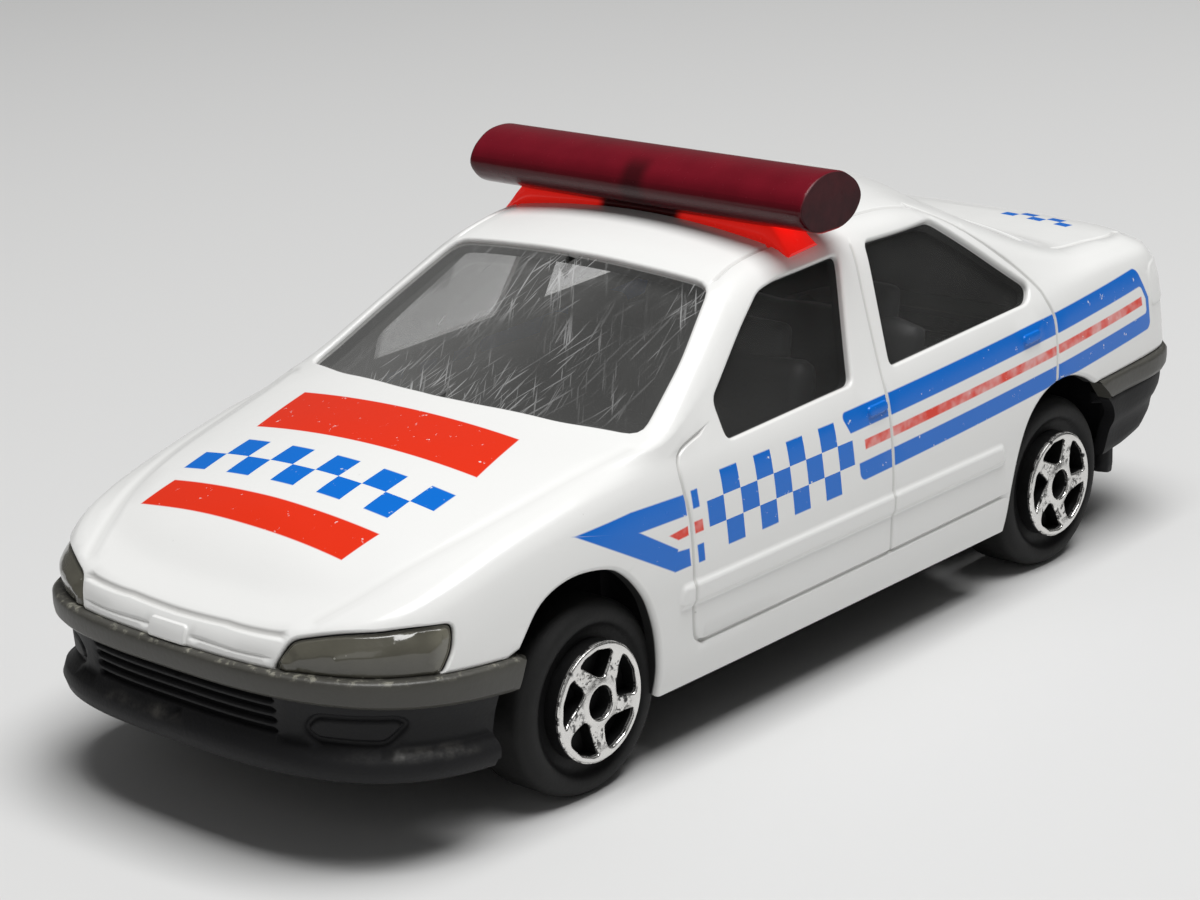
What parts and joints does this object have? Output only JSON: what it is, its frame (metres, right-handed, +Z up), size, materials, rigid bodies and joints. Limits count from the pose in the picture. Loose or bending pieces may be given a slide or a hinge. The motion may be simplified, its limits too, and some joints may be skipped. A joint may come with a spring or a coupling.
{
  "type": "toy police car",
  "caption": "Pocket die-cast toy police saloon with a riveted plastic base, window insert, roof light bar and wheelsets that roll on steel axles.",
  "frame": {"origin": "on the ground under the middle of the car's length and width", "axes": "+X towards the nose, +Y towards the car's left, +Z up"},
  "size_m": [0.078, 0.0314, 0.0295],
  "materials": {
    "body_paint": "gloss white paint on a zinc casting, with printed blue and red stripes",
    "base_black": "matt black moulding",
    "strip_grey": "matt dark grey moulding",
    "window_clear": "clear, lightly smoked and scratched plastic",
    "lamp_smoked": "smoked translucent plastic",
    "interior_black": "matt black moulding",
    "light_red": "translucent red plastic",
    "axle_steel": "drawn steel pin",
    "wheel_black": "matt black moulding, tyre and hub in one",
    "foil_bright": "hot-stamped bright foil, worn at its edges"
  },
  "bodies": {
    "car": {"body_shell": "body_paint", "base_plate": "base_black", "front_bumper_strip": "strip_grey", "rear_bumper_strip": "strip_grey", "window_insert": "window_clear", "headlamp_lens_left": "lamp_smoked", "headlamp_lens_right": "lamp_smoked", "interior_tub": "interior_black", "light_bar": "light_red"},
    "front_wheelset": {"front_axle": "axle_steel", "wheel_front_left": "wheel_black", "wheel_front_right": "wheel_black", "rim_foil_front_left": "foil_bright", "rim_foil_front_right": "foil_bright"},
    "rear_wheelset": {"rear_axle": "axle_steel", "wheel_rear_left": "wheel_black", "wheel_rear_right": "wheel_black", "rim_foil_rear_left": "foil_bright", "rim_foil_rear_right": "foil_bright"}
  },
  "joints": [
    {"name": "front_roll", "type": "hinge", "parent": "car", "child": "front_wheelset", "pos_m": [0.0215, 0, 0.00545], "axis": [0, 1, 0], "continuous": true},
    {"name": "rear_roll", "type": "hinge", "parent": "car", "child": "rear_wheelset", "pos_m": [-0.0225, 0, 0.00545], "axis": [0, 1, 0], "continuous": true}
  ]
}
